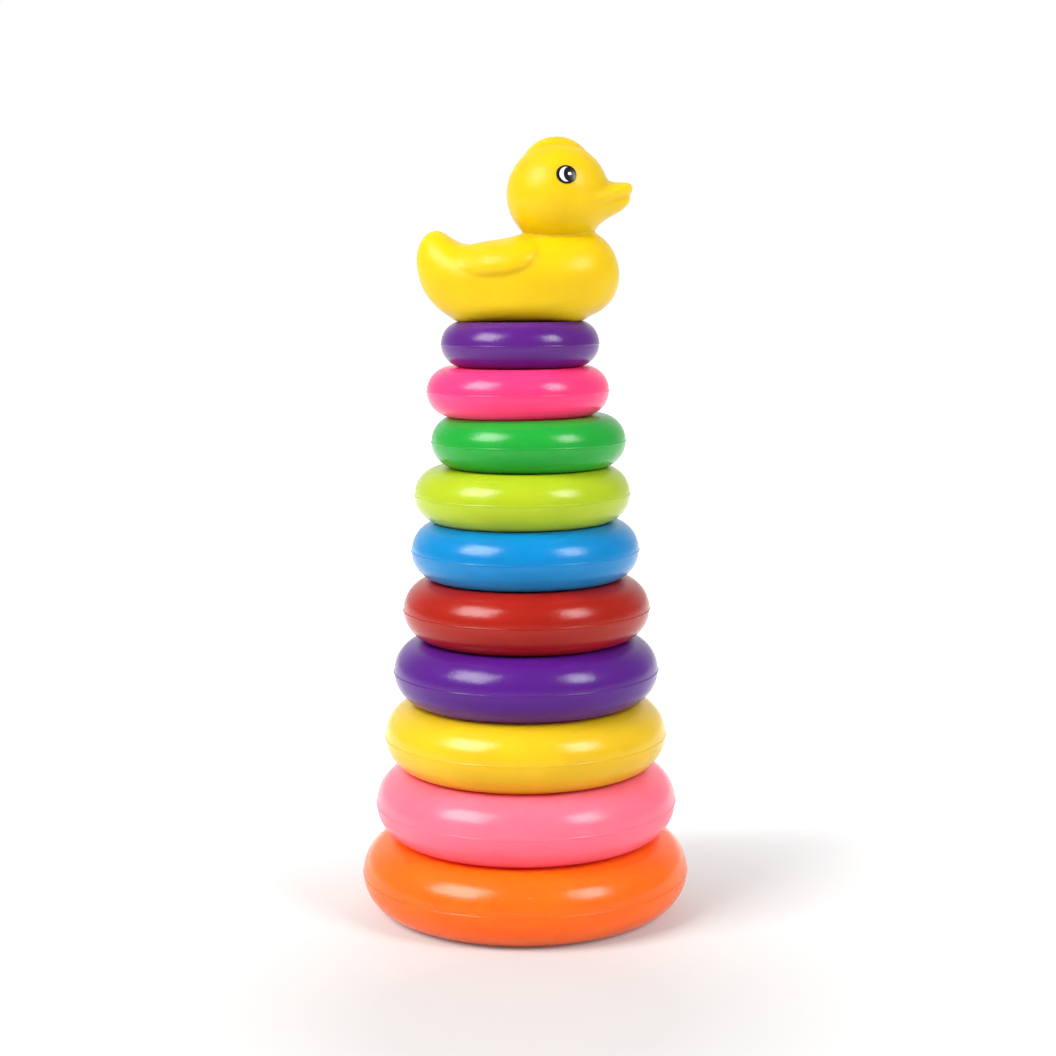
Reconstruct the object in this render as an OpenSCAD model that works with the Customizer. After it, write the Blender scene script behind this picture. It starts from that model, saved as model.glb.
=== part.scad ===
// Stacking ring toy: ten hollow rings and a duck on a tapered post.
// The duck looks along +X. Z = 0 is the surface that the toy stands on.

/* [Rings] */
// Outside diameter of the orange ring, over its seam
orange_d = 130; // [126:0.5:134]
// Outside diameter of the light pink ring, over its seam
light_pink_d = 119.5; // [116:0.5:123]
// Outside diameter of the yellow ring, over its seam
yellow_d = 112; // [109:0.5:115]
// Outside diameter of the violet ring, over its seam
violet_d = 105; // [102:0.5:108]
// Outside diameter of the red ring, over its seam
red_d = 97.5; // [95:0.5:100]
// Outside diameter of the blue ring, over its seam
blue_d = 90; // [88:0.5:92]
// Outside diameter of the lime ring, over its seam
lime_d = 85; // [83:0.5:87]
// Outside diameter of the green ring, over its seam
green_d = 76.5; // [75.5:0.5:79]
// Outside diameter of the hot pink ring, over its seam
hot_pink_d = 71.5; // [70:0.5:74]
// Outside diameter of the purple ring, over its seam
purple_d = 62; // [61:0.5:65]
// Height of the largest ring
ring_h_bottom = 28.85; // [28:0.05:30]
// Height of the smallest ring
ring_h_top = 17.6; // [17:0.1:18.5]
// Wall thickness of the hollow rings
ring_wall = 1.6; // [1.2:0.1:2.4]
// How far the moulding seam stands proud
seam_h = 0.35; // [0.2:0.05:0.6]

/* [Post] */
// Height of the post's tip above the floor
post_top = 250; // [244:1:251]
// Radius that the post's cone has at the floor
post_r = 27; // [25:0.5:27.5]
// Wall thickness of the hollow post
post_wall = 1.8; // [1.4:0.1:2.4]

/* [Foot] */
// Radius of the foot disc, inside the orange ring
foot_r = 35; // [31:0.5:35.5]
// Thickness of the foot disc
foot_t = 3; // [2.5:0.5:3.5]
// Height of the collar that the post is pushed over
spigot_h = 9; // [6:1:12]

/* [Duck] */
// Height of the duck
duck_h = 70; // [66:1:74]
// Wall thickness of the hollow duck
duck_wall = 2; // [1.6:0.2:2.4]
// Room around the post's tip in the duck's socket
socket_play = 0.6; // [0.4:0.1:0.8]
// Diameter of a printed eye
eye_d = 7.4; // [6.5:0.1:8]
// Thickness of a printed eye
eye_t = 0.3; // [0.2:0.05:0.4]

/* [Hidden] */

// Rings are counted from the floor up.
ring_d = [orange_d, light_pink_d, yellow_d, violet_d, red_d, blue_d, lime_d, green_d, hot_pink_d,
          purple_d];
ring_count = len(ring_d);
// The holes are loose on the post, so each ring rests a little to one side of its axis.
ring_shift = [0, 0.5, 0.5, 0.9, 1.3, 1, 0, 2.6, -1.4, -0.4];

// Section width over section height
section_ratio = 1.15;
// Radius of a section's round sides over half its height: its top and bottom are slightly flat
side_ratio = 1.03;
// Radius of the round bead that the seam is drawn with
seam_r = 0.6;

function ring_h(i) = ring_h_bottom + (ring_h_top - ring_h_bottom) * i / (ring_count - 1);
function ring_z(i) = i == 0 ? 0 : ring_z(i - 1) + ring_h(i - 1);
stack_h = ring_z(ring_count - 1) + ring_h(ring_count - 1);

// The post is a cone that stays at least 2.5 mm inside every ring's hole.
post_slope = 0.085;
function post_r_at(z) = post_r - post_slope * z;
// Radius of the ball that ends the cone
tip_r = (post_r - post_slope * post_top) / (1 - post_slope);
socket_depth = post_top - stack_h + socket_play;

// Spigot clearance in the post, all round
spigot_gap = 0.05;
spigot_wall = 2;
// Bevel round the top of the foot disc
foot_edge = 1;

// ---- rings ----

// Half of a ring's section, shrunk by inset: two round sides with a flat band between them
module ring_section(i, inset) {
  half_h = ring_h(i) / 2;
  outer_r = ring_d[i] / 2 - seam_h;
  side_r = side_ratio * half_h;
  hole_r = outer_r - section_ratio * ring_h(i);
  band = outer_r - hole_r - 2 * side_r;
  intersection() {
    union() {
      translate([outer_r - side_r, 0]) circle(r = side_r - inset, $fn = 64);
      translate([hole_r + side_r, 0]) circle(r = side_r - inset, $fn = 64);
      translate([hole_r + side_r, inset - side_r]) square([band, 2 * (side_r - inset)]);
    }
    translate([0, inset - half_h]) square([outer_r + seam_r, 2 * (half_h - inset)]);
  }
}

// One blow-moulded ring: a closed hollow tube with a raised seam round its middle
module stacking_ring(i) {
  translate([ring_shift[i], 0, ring_z(i) + ring_h(i) / 2])
    rotate_extrude($fn = 128)
      difference() {
        union() {
          ring_section(i, 0);
          translate([ring_d[i] / 2 - seam_r, 0]) circle(r = seam_r, $fn = 24);
        }
        ring_section(i, ring_wall);
      }
}

module ring_1_orange() { color([1, 0.48, 0.12]) stacking_ring(0); }
module ring_2_light_pink() { color([0.99, 0.53, 0.62]) stacking_ring(1); }
module ring_3_yellow() { color([0.98, 0.87, 0.15]) stacking_ring(2); }
module ring_4_violet() { color([0.42, 0.2, 0.61]) stacking_ring(3); }
module ring_5_red() { color([0.77, 0.18, 0.11]) stacking_ring(4); }
module ring_6_blue() { color([0, 0.6, 0.88]) stacking_ring(5); }
module ring_7_lime() { color([0.81, 0.91, 0.2]) stacking_ring(6); }
module ring_8_green() { color([0.2, 0.76, 0.27]) stacking_ring(7); }
module ring_9_hot_pink() { color([1, 0.3, 0.58]) stacking_ring(8); }
module ring_10_purple() { color([0.42, 0.2, 0.61]) stacking_ring(9); }

// ---- post and foot ----

// A cone with a ball end, from height z0, shrunk by inset
module cone_with_tip(z0, inset) {
  tip_z = post_top - tip_r;
  translate([0, 0, z0])
    cylinder(r1 = post_r_at(z0) - inset, r2 = post_r_at(tip_z) - inset, h = tip_z - z0, $fn = 96);
  translate([0, 0, tip_z]) sphere(r = post_r_at(tip_z) - inset, $fn = 96);
}

module post() {
  color([0.96, 0.96, 0.94])
    difference() {
      cone_with_tip(foot_t, 0);
      cone_with_tip(foot_t, post_wall);
    }
}

module foot() {
  top = foot_t + spigot_h;
  fit = post_wall + spigot_gap;
  color([0.96, 0.96, 0.94])
    difference() {
      union() {
        cylinder(r = foot_r, h = foot_t - foot_edge, $fn = 128);
        translate([0, 0, foot_t - foot_edge])
          cylinder(r1 = foot_r, r2 = foot_r - foot_edge, h = foot_edge, $fn = 128);
        translate([0, 0, foot_t])
          cylinder(r1 = post_r_at(foot_t) - fit, r2 = post_r_at(top) - fit, h = spigot_h, $fn = 96);
      }
      translate([0, 0, foot_t])
        cylinder(r = post_r_at(top) - fit - spigot_wall, h = spigot_h + 1, $fn = 96);
    }
}

// ---- duck, drawn 70 mm high with the post's axis at X = 0 ----

duck_drawn_h = 70;
duck_scale = duck_h / duck_drawn_h;
head_x = 14.5;
head_z = 48;
head_r = 19.6;
crown_z = 56;
crown_r = 14;
// Direction from the middle of the head to an eye
eye_at = [3, 18, 7];

// Upright stations along the tail and back: x, underside, top and half width
back_stations = [
  [-39.9, 21, 25, 1.2], [-39.2, 17, 28.6, 4], [-37.6, 12.6, 31.7, 7.6], [-35, 8.4, 33.9, 10.4],
  [-31.5, 4.8, 34.5, 13], [-27.5, 2, 32.4, 15.8], [-23, 0, 29.9, 18.4], [-17, -1.5, 29.3, 20.9],
  [-10, -1.5, 30.6, 23], [-0.2, -1.5, 33.3, 24.7]];
// Point behind the neck that the leaning stations of the breast fan out from
fan_at = [-0.2, 34.2];
fan_gap = 0.9;
// Leaning stations from under the duck, round the breast, to the neck: x, height and half width
breast_stations = [
  [9.4, -1.5, 25], [17.8, -0.6, 25.2], [24.2, 0.9, 25.2], [29.6, 3.3, 25], [34.5, 7.2, 24.6],
  [37.2, 12.6, 23.9], [37.9, 18.8, 22.7], [36.9, 24.3, 21], [34.4, 28.7, 19], [31.2, 32, 16.8],
  [28.9, 34.2, 14.2]];
// Heights of the level stations round the head, up to the edge of the crown
head_levels = [35.2, 36.4, 37.8, 39.3, 40.8, 42.3, 43.8, 45.4, 47, 48.6, 50.2, 51.6, 52.3, 52.9,
               54.3, 56, 58, 60, 62, 63.7];
// Level loops over the crown, evenly spaced in angle between its edge and its top
crown_steps = 7;
crown_first = 34;
crown_last = 84;
// How far forward the bill reaches, against height
bill_reach = [[36.4, 30.6], [37.8, 31.9], [39.3, 34.4], [40.8, 37.4], [43.8, 40.9], [47, 43],
              [51.6, 42.8], [52.3, 40.5], [52.9, 36.3], [54.3, 33.6]];
bill_top_z = bill_reach[len(bill_reach) - 1][0];
// The bill's half width at its middle, where it leaves the head, and its middle and half height
bill_half_w = 8.5;
bill_root_x = 22;
bill_mid_z = 48;
bill_half_h = 13;
// An x that lies behind every point of the duck
behind_all = -100;
// A wing is a low oval bump on the side: its middle as x and z, half length and half height,
// tilt in degrees, and how far it stands out
wing_at = [-5, 24.5];
wing_half = [16, 7];
wing_tilt = 12;
wing_proud = 2.6;

// Catmull-Rom curve through rows b and c, with t from 0 to 1 between them
function blend_rows(a, b, c, d, t) =
  0.5 * (2 * b + (c - a) * t + (2 * a - 5 * b + 4 * c - d) * t * t
         + (3 * b - a - 3 * c + d) * t * t * t);
function row(rows, i) = rows[max(0, min(len(rows) - 1, i))];
function smooth_rows(rows, steps) = [
  for (i = [0 : len(rows) - 2], k = [0 : steps - 1])
    blend_rows(row(rows, i - 1), rows[i], rows[i + 1], row(rows, i + 2), k / steps),
  rows[len(rows) - 1]];

function head_r_at(z) = z < crown_z ? sqrt(pow(head_r, 2) - pow(z - head_z, 2))
  : max(sqrt(max(0, pow(head_r, 2) - pow(z - head_z, 2))), sqrt(pow(crown_r, 2) - pow(z - crown_z, 2)));

// A station is its near end, its far end, its half width and how full its sides are.
full_sides = 0.88;
function back_station(s) = [[s[0], s[2]], [s[0], s[1]], s[3], full_sides];
function breast_station(s) =
  let (far = [s[0], s[1]], away = (far - fan_at) / norm(far - fan_at))
    [fan_at + fan_gap * away, far, s[2], full_sides + (1 - full_sides) * max(0, s[1]) / fan_at[1]];
function head_station(z) =
  [[head_x - head_r_at(z), z], [head_x + head_r_at(z), z], head_r_at(z), 1];
function duck_stations(steps) = concat(
  [for (s = smooth_rows(back_stations, steps)) back_station(s)],
  [for (s = smooth_rows(breast_stations, steps)) breast_station(s)],
  [for (z = head_levels) head_station(z)],
  [for (k = [1 : crown_steps])
    head_station(crown_z
      + crown_r * sin(crown_first + (crown_last - crown_first) * k / crown_steps))]);

function bulge(v, power) = sign(v) * pow(abs(v), power);
// Points are closer together at the front of each station, where the bill is.
front_crowding = 22;
function side_angle(k, sides) = 360 * k / sides - front_crowding * sin(360 * k / sides);

// How far forward the skin is at a height z and a distance y from the middle, on the bill
function bill_x(y, z) =
  let (half_w = bill_half_w * sqrt(max(0, 1 - pow((z - bill_mid_z) / bill_half_h, 2))))
    abs(y) >= half_w || z < bill_reach[0][0] || z > bill_top_z ? behind_all
      : bill_root_x + (lookup(z, bill_reach) - bill_root_x) * sqrt(1 - pow(y / half_w, 2));

// How far a wing stands out from the side at x and z
function wing_y(x, z) =
  let (dx = x - wing_at[0], dz = z - wing_at[1],
       along = (dx * cos(wing_tilt) + dz * sin(wing_tilt)) / wing_half[0],
       across = (dz * cos(wing_tilt) - dx * sin(wing_tilt)) / wing_half[1])
    wing_proud * sqrt(max(0, 1 - along * along - across * across));

// One cross-section of the skin, shrunk by inset
function skin_loop(s, sides, inset) =
  let (middle = (s[0] + s[1]) / 2, reach = norm(s[1] - s[0]) / 2,
       ahead = (s[1] - s[0]) / (2 * reach), on_head = s[3] == 1)
    [for (k = [0 : sides - 1])
      let (angle = side_angle(k, sides), p = middle + (reach - inset) * bulge(cos(angle), s[3]) * ahead,
           y = (s[2] - inset) * bulge(sin(angle), s[3]))
        on_head && cos(angle) > 0 ? [max(p[0], bill_x(y, p[1]) - inset), y, p[1]]
          : on_head ? [p[0], y, p[1]]
          : [p[0], y + sign(y) * wing_y(p[0], p[1]), max(p[1], inset)]];

// Skin over the stations from first to last, closed at both ends
module duck_skin(steps, sides, inset, first, spare) {
  stations = duck_stations(steps);
  loops = [for (i = [first : len(stations) - 1 - spare]) skin_loop(stations[i], sides, inset)];
  count = len(loops);
  skin = [for (i = [0 : count - 2], k = [0 : sides - 1])
    let (n = (k + 1) % sides)
      each [[i * sides + k, (i + 1) * sides + n, i * sides + n],
            [i * sides + k, (i + 1) * sides + k, (i + 1) * sides + n]]];
  start = [for (k = [0 : sides - 1]) k];
  end = [for (k = [sides - 1 : -1 : 0]) (count - 1) * sides + k];
  polyhedron(points = [for (l = loops) each l], faces = concat(skin, [start, end]), convexity = 6);
}

module duck_cavity() {
  boss_r = post_r_at(stack_h) + socket_play + duck_wall;
  difference() {
    scale(duck_scale) duck_skin(steps = 1, sides = 24, inset = duck_wall, first = 3, spare = 3);
    cylinder(r = boss_r, h = socket_depth + duck_wall, $fn = 64);
  }
}

module duck_body() {
  color([0.99, 0.88, 0.18])
    translate([0, 0, stack_h])
      difference() {
        scale(duck_scale) duck_skin(steps = 2, sides = 48, inset = 0, first = 0, spare = 0);
        duck_cavity();
        translate([0, 0, -1])
          cylinder(r1 = post_r_at(stack_h - 1) + socket_play,
                   r2 = post_r_at(stack_h + socket_depth) + socket_play,
                   h = socket_depth + 1, $fn = 64);
      }
}

// A printed eye: a thin round patch of a sphere on the side of the head
module eye(side) {
  azimuth = atan2(side * eye_at[1], eye_at[0]);
  rise = asin(eye_at[2] / norm(eye_at));
  color([0.06, 0.06, 0.07])
    translate([0, 0, stack_h])
      scale(duck_scale)
        translate([head_x, 0, head_z])
          intersection() {
            difference() {
              sphere(r = head_r + eye_t, $fn = 96);
              sphere(r = head_r, $fn = 96);
            }
            rotate([0, 90 - rise, azimuth]) cylinder(r = eye_d / 2, h = 2 * head_r, $fn = 64);
          }
}

module eye_right() { eye(-1); }
module eye_left() { eye(1); }

foot();
post();
ring_1_orange();
ring_2_light_pink();
ring_3_yellow();
ring_4_violet();
ring_5_red();
ring_6_blue();
ring_7_lime();
ring_8_green();
ring_9_hot_pink();
ring_10_purple();
duck_body();
eye_right();
eye_left();
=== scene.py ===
import math

import bpy
import numpy as np
from mathutils import Matrix, Vector


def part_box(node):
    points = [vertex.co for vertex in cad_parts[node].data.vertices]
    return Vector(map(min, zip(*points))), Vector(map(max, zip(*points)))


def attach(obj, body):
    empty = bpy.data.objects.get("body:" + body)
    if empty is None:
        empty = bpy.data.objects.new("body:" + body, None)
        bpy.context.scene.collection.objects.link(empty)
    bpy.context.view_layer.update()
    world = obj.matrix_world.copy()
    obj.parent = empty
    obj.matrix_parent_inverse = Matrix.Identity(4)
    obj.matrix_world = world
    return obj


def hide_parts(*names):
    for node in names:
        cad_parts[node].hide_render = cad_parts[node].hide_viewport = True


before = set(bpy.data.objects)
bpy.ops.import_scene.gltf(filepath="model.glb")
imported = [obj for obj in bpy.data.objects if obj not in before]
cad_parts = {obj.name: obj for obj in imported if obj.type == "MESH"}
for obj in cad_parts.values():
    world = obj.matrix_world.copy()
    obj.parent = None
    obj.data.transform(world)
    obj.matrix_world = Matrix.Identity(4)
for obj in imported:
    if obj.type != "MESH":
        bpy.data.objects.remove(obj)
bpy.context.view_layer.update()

MM = 0.001

RINGS = ["ring_1_orange", "ring_2_light_pink", "ring_3_yellow", "ring_4_violet", "ring_5_red",
         "ring_6_blue", "ring_7_lime", "ring_8_green", "ring_9_hot_pink", "ring_10_purple"]


# ---- camera ----

CAMERA_AT = (0.00211, -0.7797, 0.25708)
CAMERA_DOWN = 7.721
CAMERA_ROLL = 0.434
CAMERA_LENS = 68.45


def make_camera():
    data = bpy.data.cameras.new("camera")
    data.lens = CAMERA_LENS
    data.sensor_width = 36
    data.clip_start = 0.01
    data.clip_end = 50
    camera = bpy.data.objects.new("camera", data)
    bpy.context.collection.objects.link(camera)
    tilt = Matrix.Rotation(math.radians(90 - CAMERA_DOWN), 4, "X")
    roll = Matrix.Rotation(math.radians(-CAMERA_ROLL), 4, "Z")
    camera.matrix_world = Matrix.Translation(CAMERA_AT) @ tilt @ roll
    bpy.context.scene.camera = camera


# ---- materials ----

class Nodes:
    """A few short calls for building one material's node tree."""

    def __init__(self, name):
        self.material = bpy.data.materials.new(name)
        self.material.use_nodes = True
        self.tree = self.material.node_tree
        self.shader = self.tree.nodes["Principled BSDF"]
        place = self.tree.nodes.new("ShaderNodeTexCoord")
        self.place = place.outputs["Object"]

    def new(self, kind, **values):
        node = self.tree.nodes.new(kind)
        for key, value in values.items():
            if key in node.inputs:
                node.inputs[key].default_value = value
            else:
                setattr(node, key, value)
        return node

    def link(self, a, b):
        self.tree.links.new(a, b)

    def noise(self, size, detail=2.0, roughness=0.5):
        """Noise whose grains are about size metres across."""
        node = self.new("ShaderNodeTexNoise", Scale=1 / size, Detail=detail, Roughness=roughness)
        self.link(self.place, node.inputs["Vector"])
        return node.outputs["Fac"]

    def dots(self, apart, radius, share, shift=(0.0, 0.0, 0.0)):
        """1 inside scattered round specks and 0 elsewhere; share is how many of the cells have one."""
        move = self.new("ShaderNodeVectorMath", operation="ADD")
        move.inputs[1].default_value = shift
        self.link(self.place, move.inputs[0])
        cells = self.new("ShaderNodeTexVoronoi", Scale=1 / apart)
        self.link(move.outputs[0], cells.inputs["Vector"])
        near = self.remap(cells.outputs["Distance"], radius / apart, 2 * radius / apart, 1, 0)
        chosen = self.math("LESS_THAN", self.channel(cells.outputs["Color"]), share)
        return self.math("MULTIPLY", near, chosen)

    def channel(self, colour):
        node = self.new("ShaderNodeSeparateColor")
        self.link(colour, node.inputs[0])
        return node.outputs[0]

    def remap(self, value, low, high, out_low, out_high):
        node = self.new("ShaderNodeMapRange")
        node.inputs["From Min"].default_value = low
        node.inputs["From Max"].default_value = high
        node.inputs["To Min"].default_value = out_low
        node.inputs["To Max"].default_value = out_high
        self.link(value, node.inputs["Value"])
        return node.outputs["Result"]

    def math(self, operation, a, b):
        node = self.new("ShaderNodeMath", operation=operation)
        for socket, value in zip(node.inputs, (a, b)):
            if isinstance(value, (int, float)):
                socket.default_value = value
            else:
                self.link(value, socket)
        return node.outputs["Value"]

    def blend(self, factor, a, b):
        """Colour a where factor is 0 and colour b where it is 1; a or b may be a colour or a socket."""
        node = self.new("ShaderNodeMix", data_type="RGBA")
        self.link(factor, node.inputs[0])
        for socket, value in ((node.inputs[6], a), (node.inputs[7], b)):
            if isinstance(value, tuple):
                socket.default_value = (*value, 1)
            else:
                self.link(value, socket)
        return node.outputs[2]

    def bump(self, height, strength, distance, after=None):
        node = self.new("ShaderNodeBump", Strength=strength, Distance=distance)
        self.link(height, node.inputs["Height"])
        if after is not None:
            self.link(after, node.inputs["Normal"])
        return node.outputs["Normal"]


def linear(colour):
    """An sRGB colour of 0 to 255 as linear light."""
    return tuple(c / 255 / 12.92 if c <= 10 else ((c / 255 + 0.055) / 1.055) ** 2.4 for c in colour)


def tint(colour, factor):
    return tuple(min(1.0, c * factor) for c in colour)


PALE_SPECK = (0.75, 0.75, 0.75)
# Specks in the plastic: how far apart, how big, and in what share of the places, in metres
DARK_SPECKS = (0.018, 0.0002, 0.16)
PALE_SPECKS = (0.025, 0.00018, 0.14)
PALE_SHIFT = (0.4, 0.1, 0.7)
DEFAULT_DEPTH = 0.014


def glossy_plastic(name, colour, roughness=0.21, grain=1.0, depth=DEFAULT_DEPTH, gloss=0.28):
    """Blow-moulded glossy plastic: cloudy pigment, specks, handling smudges and orange-peel skin."""
    n = Nodes(name)
    base = linear(colour)
    cloud = n.remap(n.noise(0.022, 3), 0.3, 0.7, 0, 1)
    colour_out = n.blend(cloud, tint(base, 0.94), tint(base, 1.05))
    colour_out = n.blend(n.dots(*DARK_SPECKS), colour_out, tint(base, 0.6))
    colour_out = n.blend(n.dots(*PALE_SPECKS, PALE_SHIFT), colour_out, PALE_SPECK)
    n.link(colour_out, n.shader.inputs["Base Color"])

    smudge = n.remap(n.noise(0.013, 4, 0.6), 0.35, 0.75, roughness - 0.025, roughness + 0.05)
    n.link(smudge, n.shader.inputs["Roughness"])

    waves = n.bump(n.noise(0.007, 1), 0.25, 0.00022 * grain)
    peel = n.bump(n.noise(0.0009, 2, 0.55), 0.5, 0.00012 * grain, waves)
    n.link(peel, n.shader.inputs["Normal"])

    n.shader.inputs["IOR"].default_value = 1.5
    n.shader.inputs["Specular IOR Level"].default_value = gloss
    # Light goes furthest into the plastic in the plastic's own colour.
    n.shader.inputs["Subsurface Weight"].default_value = 0.85
    n.shader.inputs["Subsurface Radius"].default_value = tuple(0.12 + 0.88 * c ** 0.6 for c in base)
    n.shader.inputs["Subsurface Scale"].default_value = depth
    n.material.diffuse_color = (*base, 1)
    return n.material


def print_ink(name, colour):
    """Pad-printed ink: even, slightly duller than the plastic, with pinholes."""
    n = Nodes(name)
    base = linear(colour)
    pinholes = n.remap(n.noise(0.0004, 1), 0.7, 0.76, 0, 0.5)
    lighter = tuple(c + 0.08 for c in base)
    n.link(n.blend(pinholes, base, lighter), n.shader.inputs["Base Color"])
    n.link(n.remap(n.noise(0.0016, 2), 0.3, 0.7, 0.16, 0.26), n.shader.inputs["Roughness"])
    n.link(n.bump(n.noise(0.0006, 2), 0.4, 0.00002), n.shader.inputs["Normal"])
    n.shader.inputs["Specular IOR Level"].default_value = 0.25
    n.material.diffuse_color = (*base, 1)
    return n.material


PLASTICS = {
    "ring_1_orange": (251, 100, 12),
    "ring_2_light_pink": (251, 105, 128),
    "ring_3_yellow": (208, 171, 20),
    "ring_4_violet": (78, 20, 121),
    "ring_5_red": (150, 23, 7),
    "ring_6_blue": (0, 119, 176),
    "ring_7_lime": (156, 174, 24),
    "ring_8_green": (24, 147, 48),
    "ring_9_hot_pink": (251, 52, 110),
    "ring_10_purple": (80, 23, 115),
}
# Paler pigments let light further in, in metres
DEPTHS = {"ring_1_orange": 0.03, "ring_2_light_pink": 0.03, "ring_3_yellow": 0.025, "ring_7_lime": 0.02,
          "ring_9_hot_pink": 0.02}
DUCK_YELLOW = (204, 171, 8)
# The duck is duller and grainier than the rings
DUCK_FINISH = {"roughness": 0.34, "grain": 1.2, "depth": 0.011, "gloss": 0.17}
POST_WHITE = (232, 232, 226)


def give(piece, *materials):
    piece.data.materials.clear()
    for material in materials:
        piece.data.materials.append(material)


# ---- meshes ----

def mesh_piece(name, points, faces, body):
    """A smooth-shaded piece that rides on a body."""
    mesh = bpy.data.meshes.new(name)
    mesh.from_pydata([tuple(p) for p in points], [], [tuple(f) for f in faces])
    mesh.validate()
    mesh.update()
    mesh.polygons.foreach_set("use_smooth", [True] * len(mesh.polygons))
    piece = bpy.data.objects.new(name, mesh)
    bpy.context.collection.objects.link(piece)
    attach(piece, body)
    return piece


# ---- rings ----

# A ring's section: its width over its height, and its sides' radius over half its height
SECTION_RATIO = 1.15
SIDE_RATIO = 1.03
SEAM_H = 0.35 * MM
SEAM_HALF_W = 0.3 * MM
RING_STEPS = 288
OUTER_ROWS, INNER_ROWS, SHOULDER_ROWS = 29, 25, 3
# Stacked rings touch, so each is shaved by this much and their faces don't coincide
STACK_GAP = 0.02 * MM
# Moulding makes a ring very slightly out of true; this stays inside the CAD box
WARP = 0.12 * MM


def ring_profile(outer_r, half_h):
    """Closed section of a ring as (radius, height) rows, from the outside round the top to the hole."""
    side_r = SIDE_RATIO * half_h
    hole_r = outer_r - SECTION_RATIO * 2 * half_h
    reach = math.asin(half_h / side_r)
    rows = []
    seam_turn = math.asin(SEAM_HALF_W / side_r)
    shoulder = 2.4 * seam_turn
    for t in (0, 0.45, 0.8, 1.0):
        rows.append((outer_r + SEAM_H * (1 - t * t * (3 - 2 * t)), SEAM_HALF_W * t))
    beyond = OUTER_ROWS - 1 - SHOULDER_ROWS
    for k in range(OUTER_ROWS):
        near, far = min(k, SHOULDER_ROWS) / SHOULDER_ROWS, max(0, k - SHOULDER_ROWS) / beyond
        a = seam_turn + (shoulder - seam_turn) * near + (reach - shoulder) * far
        rows.append((outer_r - side_r + side_r * math.cos(a), side_r * math.sin(a)))
    for k in range(INNER_ROWS):
        a = reach * (1 - k / (INNER_ROWS - 1))
        rows.append((hole_r + side_r - side_r * math.cos(a), side_r * math.sin(a)))
    mirrored = [(r, -z) for r, z in rows[-2:0:-1]]
    return rows + mirrored


def make_ring(node, order):
    """One ring's skin, turned about the post's axis and very slightly out of true."""
    low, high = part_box(node)
    centre = (Vector(low) + Vector(high)) / 2
    half_h = (high[2] - low[2]) / 2 - STACK_GAP
    outer_r = (high[0] - low[0]) / 2 - SEAM_H
    rng = np.random.default_rng(40 + order)
    phase = rng.uniform(0, 2 * math.pi, 4)
    profile = np.array(ring_profile(outer_r, half_h))
    turn = 2 * math.pi * np.arange(RING_STEPS) / RING_STEPS
    r, z = profile[:, 0][None, :], profile[:, 1][None, :]
    # A ripple between 0 and -3.9, so that the warp only ever goes inwards
    ripple = (np.sin(2 * turn + phase[0]) + 0.6 * np.sin(3 * turn + phase[1])
              + 0.35 * np.sin(5 * turn + phase[2]) - 1.95)
    inward = WARP * ripple[:, None] / 3.9 * (1 - np.abs(z / half_h) ** 2)
    # The seam is flash where the mould's halves meet, so its height wanders.
    seam = np.where(r > outer_r, 1.0, 0.0)
    flash = SEAM_H * 0.35 * (np.sin(7 * turn + phase[3]) * np.sin(3 * turn + phase[0]) - 1) * 0.5
    radius = r + inward + flash[:, None] * seam
    points = np.stack([centre.x + radius * np.cos(turn)[:, None],
                       centre.y + radius * np.sin(turn)[:, None],
                       centre.z + z + 0 * radius], -1).reshape(-1, 3)
    rows = len(profile)
    i, k = np.meshgrid(np.arange(RING_STEPS), np.arange(rows), indexing="ij")
    ni, nk = (i + 1) % RING_STEPS, (k + 1) % rows
    faces = np.stack([i * rows + k, ni * rows + k, ni * rows + nk, i * rows + nk], -1).reshape(-1, 4)
    ring = mesh_piece(node + "_skin", points, faces.tolist(), "body_" + node)
    give(ring, glossy_plastic(node + "_plastic", PLASTICS[node], depth=DEPTHS.get(node, DEFAULT_DEPTH)))
    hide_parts(node)


# ---- duck ----

DUCK_CELL = 0.5
OUTLINE_STEPS = 6
PUFF_ROUNDS = 400
# Side outline of the tail, back, breast and belly in mm: x from the post's axis, z from the duck's base
BODY_OUTLINE = [
    (-39.9, 22.8), (-38.9, 28.9), (-36.3, 32.9), (-32.5, 34.55), (-28.6, 33.2), (-24.7, 30.7),
    (-20.5, 29.45), (-14, 29.75), (-7, 31.2), (0.5, 33), (10, 34.2), (20, 34.6), (27, 33.9),
    (31.2, 31.7), (34.7, 27.9), (37.1, 22.8), (37.9, 17), (37.1, 12), (34.7, 7.3), (30.6, 3.6),
    (25.2, 0.7), (19, -5.5), (8, -12), (-5, -13), (-16, -9), (-22, -3.2), (-26.6, 1.1),
    (-31.4, 4.5), (-35.6, 9.1), (-38.6, 15)]
# How fat the body is at the tail and at the breast
PUFF_TAIL, PUFF_BREAST = 2.6, 4.4
# How much fuller the sides are down at the base
FULL_BELOW = 0.9
# A wing is a low cushion on the side: middle (x, z), half length and half height, tilt and height
WING_AT, WING_HALF = (-9.3, 26.4), (15.6, 8.9)
WING_TILT = 5
WING_PROUD = 3.4
HEAD_AT, HEAD_R = (14.5, 0, 48), (19.6, 19.6, 19.6)
CROWN_AT, CROWN_R = (14, 0, 56), (14.2, 9.4, 13.9)


def smooth_curve(rows, steps):
    """Closed Catmull-Rom curve through rows."""
    p = np.array(rows, float)
    n = len(p)
    out = []
    for i in range(n):
        a, b, c, d = p[i - 1], p[i], p[(i + 1) % n], p[(i + 2) % n]
        for t in np.arange(steps) / steps:
            out.append(0.5 * (2 * b + (c - a) * t + (2 * a - 5 * b + 4 * c - d) * t ** 2
                              + (3 * b - a - 3 * c + d) * t ** 3))
    return np.array(out)


def ramp(value, start, end):
    """0 before start, 1 after end and a smooth rise between them."""
    t = np.clip((value - start) / (end - start), 0, 1)
    return t * t * (3 - 2 * t)


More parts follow.
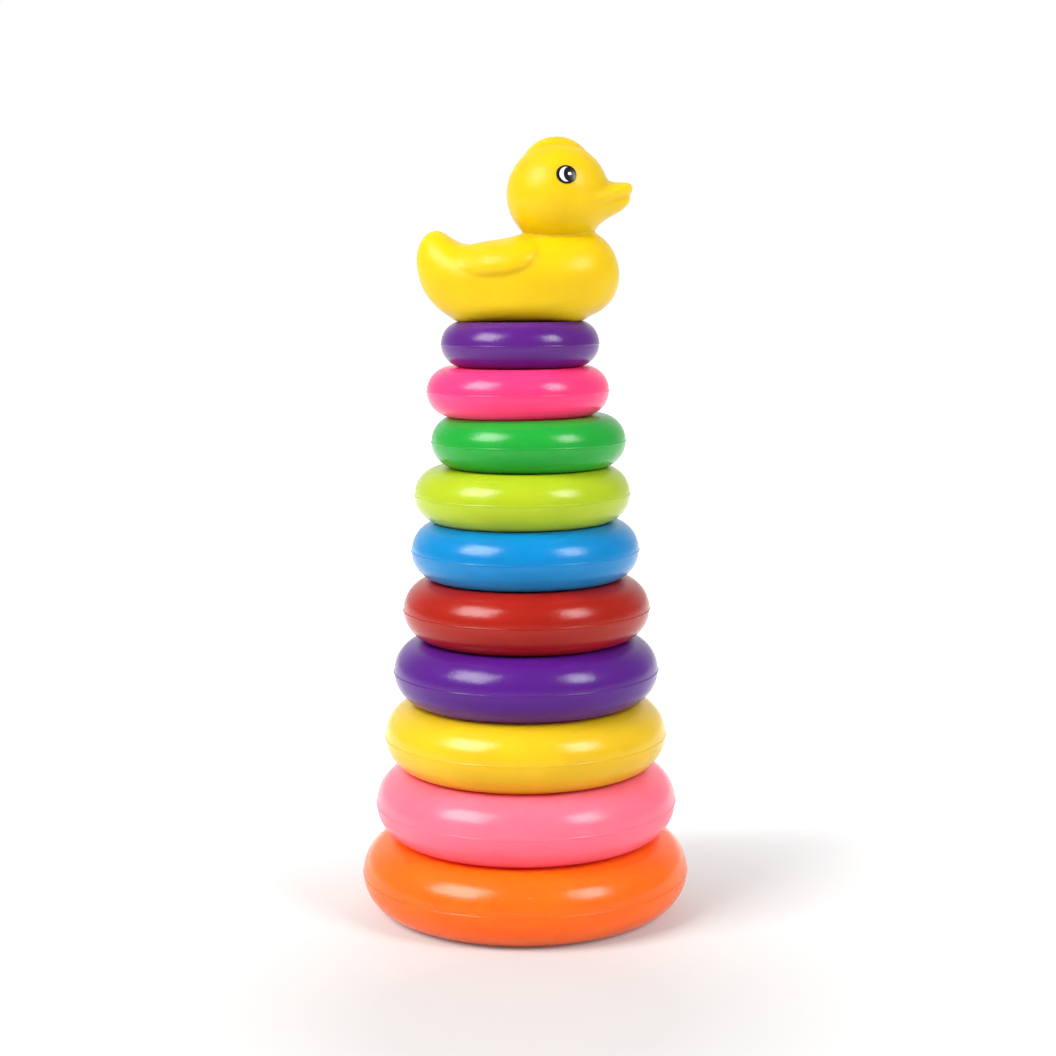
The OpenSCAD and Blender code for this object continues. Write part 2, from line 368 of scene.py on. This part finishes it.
def smooth_min(a, b, r):
    h = np.clip(0.5 + 0.5 * (b - a) / r, 0, 1)
    return b + (a - b) * h - r * h * (1 - h)


def smooth_max(a, b, r):
    return -smooth_min(-a, -b, r)


def as_distance(g, cell, least):
    """A field divided by its own slope, which near its zero is a distance."""
    gx, gy, gz = np.gradient(g, cell)
    return g / np.maximum(np.sqrt(gx * gx + gy * gy + gz * gz), least)


def ellipsoid(x, y, z, centre, radii):
    px, py, pz = x - centre[0], y - centre[1], z - centre[2]
    k0 = np.sqrt((px / radii[0]) ** 2 + (py / radii[1]) ** 2 + (pz / radii[2]) ** 2)
    k1 = np.sqrt((px / radii[0] ** 2) ** 2 + (py / radii[1] ** 2) ** 2 + (pz / radii[2] ** 2) ** 2)
    return k0 * (k0 - 1) / np.maximum(k1, 1e-6)


def inside_outline(outline, x, z):
    inside = np.zeros(x.shape, bool)
    for (x0, z0), (x1, z1) in zip(outline, np.roll(outline, -1, 0)):
        if z0 == z1:
            continue
        crosses = (z0 > z) != (z1 > z)
        inside ^= crosses & (x < (x1 - x0) * (z - z0) / (z1 - z0) + x0)
    return inside


def outline_distance(outline, x, z):
    best = np.full(x.shape, 1e9)
    for (x0, z0), (x1, z1) in zip(outline, np.roll(outline, -1, 0)):
        ex, ez = x1 - x0, z1 - z0
        t = np.clip(((x - x0) * ex + (z - z0) * ez) / max(ex * ex + ez * ez, 1e-12), 0, 1)
        best = np.minimum(best, (x - x0 - t * ex) ** 2 + (z - z0 - t * ez) ** 2)
    return np.sqrt(best)


def spread(values, mask):
    """Average of the masked neighbours in a 5 by 5 window, and where there are any."""
    total = np.zeros(values.shape)
    count = np.zeros(values.shape)
    for i in range(-2, 3):
        for j in range(-2, 3):
            total += np.roll(np.where(mask, values, 0.0), (i, j), (0, 1))
            count += np.roll(mask.astype(float), (i, j), (0, 1))
    return total / np.maximum(count, 1), count > 0


def puffed(outline, xs, zs, rounds):
    """A field that is zero on the outline and swells inside it like a film under pressure."""
    x, z = np.meshgrid(xs, zs, indexing="ij")
    cell = xs[1] - xs[0]
    inside = inside_outline(outline, x, z)
    distance = outline_distance(outline, x, z)
    u = np.where(inside, 8 * distance, 0.0)
    even = np.add.outer(np.arange(len(xs)), np.arange(len(zs))) % 2 == 0
    near = inside & (distance > 0.3 * cell) & (distance < 4 * cell)
    for k in range(rounds):
        if k % 10 == 0:
            slope, known = spread(u / np.maximum(distance, 0.3 * cell), near)
            u = np.where(inside, u, -distance * np.where(known, slope, 16.0))
        for half in (even, ~even):
            total = np.zeros_like(u)
            total[1:-1, 1:-1] = u[2:, 1:-1] + u[:-2, 1:-1] + u[1:-1, 2:] + u[1:-1, :-2]
            cells = inside & half
            u[cells] += 1.85 * ((total[cells] + cell * cell) / 4 - u[cells])
    return u


def bill_field(x, y, z, cell):
    """The bill, with its widest line as a soft ridge from the cheek up to the tip, and a mouth line below."""
    ridge = np.minimum(45.0 + 0.2 * (x - 25.3) + 0.0125 * np.maximum(0, x - 25.3) ** 2, 50.2)
    mouth = 44.7 + 0.31 * (x - 33.5)
    top = 52.4 + 0.1 * np.maximum(0, 37 - x) ** 1.5
    bottom = 40.9 - 0.55 * np.maximum(0, 37.4 - x) + 0.5 * np.maximum(0, x - 37.4) ** 1.25
    half = 17 * np.clip(1 - (x - 24) / 19.4, 0.02, 1.1) ** 0.62
    along = np.abs((x - 29) / 14.12) ** 16
    width = np.abs(y / half) ** 1.9
    upper = along + width + np.abs((z - ridge) / np.maximum(top - ridge, 1)) ** 1.6 - 1
    lower = along + width + np.abs((z - ridge) / np.maximum(ridge - bottom, 1)) ** 1.7 - 1
    bill = as_distance(np.where(z > ridge, upper, lower), cell, 0.02)
    groove = 1.25 * np.exp(-((z - mouth) / 0.65) ** 2) * np.clip((x - 29) / 5, 0, 1)
    return np.where(x > 18, bill + groove, 20.0)


def duck_field(cell):
    xs = np.arange(-42, 45.5, cell)
    ys = np.arange(-28.013, 28.1, cell)
    zs = np.arange(-2.017, 72.5, cell)
    x, y, z = np.meshgrid(xs, ys, zs, indexing="ij", sparse=True)
    u = puffed(smooth_curve(BODY_OUTLINE, OUTLINE_STEPS), xs, zs, PUFF_ROUNDS)
    puff = PUFF_TAIL + (PUFF_BREAST - PUFF_TAIL) * ramp(x, -38, 8)
    puff = puff * (1 + FULL_BELOW * np.clip(1 - z / 15, 0, 1) ** 2)
    body = as_distance(y * y / puff - u[:, None, :], cell, 3.0)
    tilt = math.radians(WING_TILT)
    along = ((x - WING_AT[0]) * math.cos(tilt) + (z - WING_AT[1]) * math.sin(tilt)) / WING_HALF[0]
    across = ((z - WING_AT[1]) * math.cos(tilt) - (x - WING_AT[0]) * math.sin(tilt)) / WING_HALF[1]
    cushion = np.clip(1 - np.abs(along) ** 2.2 - np.abs(across) ** 2.2, 0, 1) ** 0.6
    fade = ramp(x, -27, -12) * (1 - ramp(z, 28, 34)) * ramp(np.abs(y), 3, 9)
    body = body - WING_PROUD * cushion * fade
    head = ellipsoid(x, y, z, HEAD_AT, HEAD_R)
    head = smooth_min(head, ellipsoid(x, y, z, CROWN_AT, CROWN_R), 0.4)
    head = smooth_min(head, bill_field(x, y, z, cell), 1.5)
    duck = smooth_max(smooth_min(body, head, 0.9), -z + 0 * x + 0 * y, 0.8)
    # A light blur, so that no two sheets of the surface share one cell
    for axis in (0, 1, 2, 0, 1, 2):
        duck = (2 * duck + np.roll(duck, 1, axis) + np.roll(duck, -1, axis)) / 4
    return xs, ys, zs, duck


def surface(xs, ys, zs, f):
    """Surface nets: a vertex in each cell that the surface crosses, and a quad for each crossed edge."""
    inside = f < 0
    corners = np.array([(i, j, k) for i in (0, 1) for j in (0, 1) for k in (0, 1)])
    n = np.array(f.shape) - 1
    count = sum(inside[c[0]:c[0] + n[0], c[1]:c[1] + n[1], c[2]:c[2] + n[2]].astype(int) for c in corners)
    cells = np.argwhere((count > 0) & (count < 8))
    index = -np.ones(tuple(n), int)
    index[tuple(cells.T)] = np.arange(len(cells))
    values = [f[tuple((cells + c).T)] for c in corners]
    total = np.zeros((len(cells), 3))
    hits = np.zeros(len(cells))
    for a, start in enumerate(corners):
        for axis in range(3):
            if start[axis]:
                continue
            end = start.copy()
            end[axis] = 1
            b = 4 * end[0] + 2 * end[1] + end[2]
            crossed = (values[a] < 0) != (values[b] < 0)
            t = np.where(crossed, values[a] / np.where(crossed, values[a] - values[b], 1), 0)
            total += (start + np.outer(t, end - start)) * crossed[:, None]
            hits += crossed
    step = xs[1] - xs[0]
    points = np.array([xs[0], ys[0], zs[0]]) + step * (cells + total / hits[:, None])
    quads = []
    for axis in range(3):
        u, v = (axis + 1) % 3, (axis + 2) % 3
        low = [slice(1, -1)] * 3
        high = [slice(1, -1)] * 3
        low[axis], high[axis] = slice(0, -1), slice(1, None)
        a, b = inside[tuple(low)], inside[tuple(high)]
        du, dv = np.eye(3, dtype=int)[u], np.eye(3, dtype=int)[v]
        for mask, turn in ((a & ~b, 1), (~a & b, -1)):
            at = np.argwhere(mask) + 1
            at[:, axis] -= 1
            loop = [index[tuple((at - s).T)] for s in (du + dv, dv, 0 * du, du)]
            quads.append(np.stack(loop[::turn], 1))
    return points, np.concatenate(quads)


def make_duck():
    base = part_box("duck_body")[0][2]
    cell = DUCK_CELL
    points, faces = surface(*duck_field(cell))
    points = points * MM + np.array([0, 0, base])
    duck = mesh_piece("duck_skin", points, faces.tolist(), "duck")
    give(duck, glossy_plastic("duck_plastic", DUCK_YELLOW, **DUCK_FINISH))
    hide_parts("duck_body")


# ---- eyes ----

# Which way from the head's middle an eye is, its radius, and how proud of the head its inks are
EYE_AT = (3, 18, 7)
EYE_R, EYE_SQUASH = 3.85, 0.97
INK_BASE, INK_RING, INK_DOT = 0.10, 0.15, 0.15
PATCH_ROWS = 9
# The crescent: where it starts and how far it turns, in degrees, and its steps
CRESCENT_START, CRESCENT_TURN, CRESCENT_STEPS = 104, 152, 24
DOT_AT, DOT_R, DOT_SQUASH = (1.2, 0.15), 0.72, 0.85


def make_eye(node, side, black, pale, white):
    """A printed eye: a black disc with a pale crescent and a white dot on it, on the side of the head."""
    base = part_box("duck_body")[0][2]
    out = Vector((EYE_AT[0], side * EYE_AT[1], EYE_AT[2])).normalized()
    up = (Vector((0, 0, 1)) - out * out.z).normalized()
    ahead = Vector((1, 0, 0))
    ahead = (ahead - out * ahead.dot(out) - up * ahead.dot(up)).normalized()
    centre = Vector(HEAD_AT) * MM + Vector((0, 0, base))
    points, faces, kinds = [], [], []

    def at(a, b, proud):
        """The point of the head at a mm ahead of the eye's middle and b mm above it."""
        r = HEAD_R[0]
        d = out * math.sqrt(max(0, r * r - a * a - b * b)) + ahead * a + up * b
        return centre + d.normalized() * (r + proud) * MM

    def patch(inner, outer, proud, kind, closed):
        """A thin sheet between two outlines, with a rim down to the head."""
        rows = []
        for t in np.linspace(0, 1, PATCH_ROWS):
            row = []
            for (a0, b0), (a1, b1) in zip(inner, outer):
                row.append(len(points))
                lift = proud if t < 1 else 0.02 * proud
                points.append(at(a0 + (a1 - a0) * t, b0 + (b1 - b0) * t, lift))
            rows.append(row)
        for lower, upper in zip(rows, rows[1:]):
            n = len(lower)
            for k in range(n if closed else n - 1):
                m = (k + 1) % n
                face = (lower[k], lower[m], upper[m], upper[k])
                faces.append(face if side < 0 else face[::-1])
                kinds.append(kind)

    def circle(x, z, r, squash=1.0, count=48):
        turns = [2 * math.pi * k / count for k in range(count)]
        return [(x + r * math.cos(a), z + r * squash * math.sin(a)) for a in turns]

    patch(circle(0, 0, 0.01), circle(0, 0, EYE_R, EYE_SQUASH), INK_BASE, 0, True)
    outer_arc, inner_arc = [], []
    for k in range(CRESCENT_STEPS + 1):
        a = math.radians(CRESCENT_START + CRESCENT_TURN * k / CRESCENT_STEPS)
        outer_arc.append((0.3 + 3.05 * math.cos(a), 3.05 * math.sin(a)))
        inner_arc.append((1.15 + 2.65 * math.cos(a) * 0.85, 2.95 * math.sin(a)))
    patch(inner_arc, outer_arc, INK_RING, 1, False)
    patch(circle(*DOT_AT, 0.01), circle(*DOT_AT, DOT_R, DOT_SQUASH), INK_DOT, 2, True)
    eye = mesh_piece(node + "_print", points, faces, "duck")
    give(eye, black, pale, white)
    eye.data.polygons.foreach_set("material_index", kinds)
    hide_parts(node)


# ---- post and foot ----

def finish_post():
    white = glossy_plastic("post_plastic", POST_WHITE, roughness=0.24)
    for node in ("post", "foot"):
        give(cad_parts[node], white)


# ---- studio ----

# Each lamp: azimuth from -Y towards +X and elevation in degrees, distance, size, watts and colour
KEY = (-56, 40, 2.6, (1.45, 1.35), 94.0, (1.0, 0.99, 0.97))
FILL = (52, 34, 2.6, (0.92, 1.16), 49.0, (1.0, 1.0, 1.0))
AIM = Vector((0, 0, 0.15))
# The world's strength in front of the toy, behind it, and as the camera sees it
FRONT_LIGHT, BACK_LIGHT, SEEN_LIGHT = 0.38, 0.85, 1.0
# Between which directions, as Y of a unit vector, the world goes from front to back
FRONT_END, BACK_START = 0.4, 0.95
FLOOR_HALF = 6.0
FLOOR_DARK, FLOOR_PALE = (0.50, 0.50, 0.50), (0.52, 0.52, 0.52)
# Painted light on the floor, an emission weakest just in front of the toy: its middle, then from and to in
# metres away from it and its strength at both
PAINTED_LIGHT_CENTRE = (0, -0.12, 0)
FLOOR_PAINTED_LIGHT = (0.05, 0.38, 0.02, 0.8)


def softbox(name, azimuth, elevation, far, size, watts, colour):
    """A rectangular lamp aimed at the toy."""
    a, e = math.radians(azimuth), math.radians(elevation)
    way = Vector((math.sin(a) * math.cos(e), -math.cos(a) * math.cos(e), math.sin(e)))
    data = bpy.data.lights.new(name, "AREA")
    data.shape = "RECTANGLE"
    data.size, data.size_y = size
    data.energy = watts
    data.color = colour
    lamp = bpy.data.objects.new(name, data)
    bpy.context.collection.objects.link(lamp)
    lamp.location = AIM + way * far
    lamp.rotation_mode = "QUATERNION"
    lamp.rotation_quaternion = (-way).to_track_quat("-Z", "Y")
    lamp.visible_camera = False


def make_world():
    """A pale backdrop behind the toy, in a studio that is otherwise dim."""
    world = bpy.data.worlds.new("studio")
    bpy.context.scene.world = world
    world.use_nodes = True
    tree = world.node_tree
    background = tree.nodes["Background"]
    place = tree.nodes.new("ShaderNodeTexCoord")
    axes = tree.nodes.new("ShaderNodeSeparateXYZ")
    tree.links.new(place.outputs["Generated"], axes.inputs[0])
    depth = tree.nodes.new("ShaderNodeMapRange")
    depth.interpolation_type = "SMOOTHSTEP"
    depth.inputs["From Min"].default_value = FRONT_END
    depth.inputs["From Max"].default_value = BACK_START
    depth.inputs["To Min"].default_value = FRONT_LIGHT
    depth.inputs["To Max"].default_value = BACK_LIGHT
    tree.links.new(axes.outputs["Y"], depth.inputs["Value"])
    seen = tree.nodes.new("ShaderNodeLightPath")
    level = tree.nodes.new("ShaderNodeMix")
    level.inputs[3].default_value = SEEN_LIGHT
    tree.links.new(seen.outputs["Is Camera Ray"], level.inputs[0])
    tree.links.new(depth.outputs["Result"], level.inputs[2])
    tree.links.new(level.outputs[0], background.inputs["Strength"])
    background.inputs["Color"].default_value = (1, 1, 1, 1)


def make_floor():
    """A large pale floor with painted light: an emission that grows away from the toy, leaving painted shade
    close in front of it.
    """
    size = FLOOR_HALF
    mesh = bpy.data.meshes.new("floor")
    mesh.from_pydata([(-size, -size, 0), (size, -size, 0), (size, size, 0), (-size, size, 0)],
                     [], [(0, 1, 2, 3)])
    floor = bpy.data.objects.new("floor", mesh)
    bpy.context.collection.objects.link(floor)
    n = Nodes("floor_paper")
    shade = n.remap(n.noise(0.4, 3), 0.3, 0.7, 0, 1)
    n.link(n.blend(shade, FLOOR_DARK, FLOOR_PALE), n.shader.inputs["Base Color"])
    n.shader.inputs["Roughness"].default_value = 0.6
    n.shader.inputs["Specular IOR Level"].default_value = 0.2
    n.shader.inputs["Emission Color"].default_value = (1, 1, 1, 1)
    away = n.new("ShaderNodeVectorMath", operation="DISTANCE")
    away.inputs[1].default_value = PAINTED_LIGHT_CENTRE
    n.link(n.place, away.inputs[0])
    # Painted light: the floor glows faintly near the toy and brightly away from it
    n.link(n.remap(away.outputs["Value"], *FLOOR_PAINTED_LIGHT), n.shader.inputs["Emission Strength"])
    mesh.materials.append(n.material)


def make_studio():
    make_world()
    softbox("key", *KEY)
    softbox("fill", *FILL)
    make_floor()
    scene = bpy.context.scene
    scene.view_settings.view_transform = "Standard"
    scene.view_settings.look = "None"


make_camera()
for order, node in enumerate(RINGS):
    make_ring(node, order)
make_duck()
inks = (print_ink("eye_black", (14, 14, 18)), print_ink("eye_lilac", (205, 205, 232)),
        print_ink("eye_white", (245, 245, 250)))
make_eye("eye_right", -1, *inks)
make_eye("eye_left", 1, *inks)
finish_post()
make_studio()
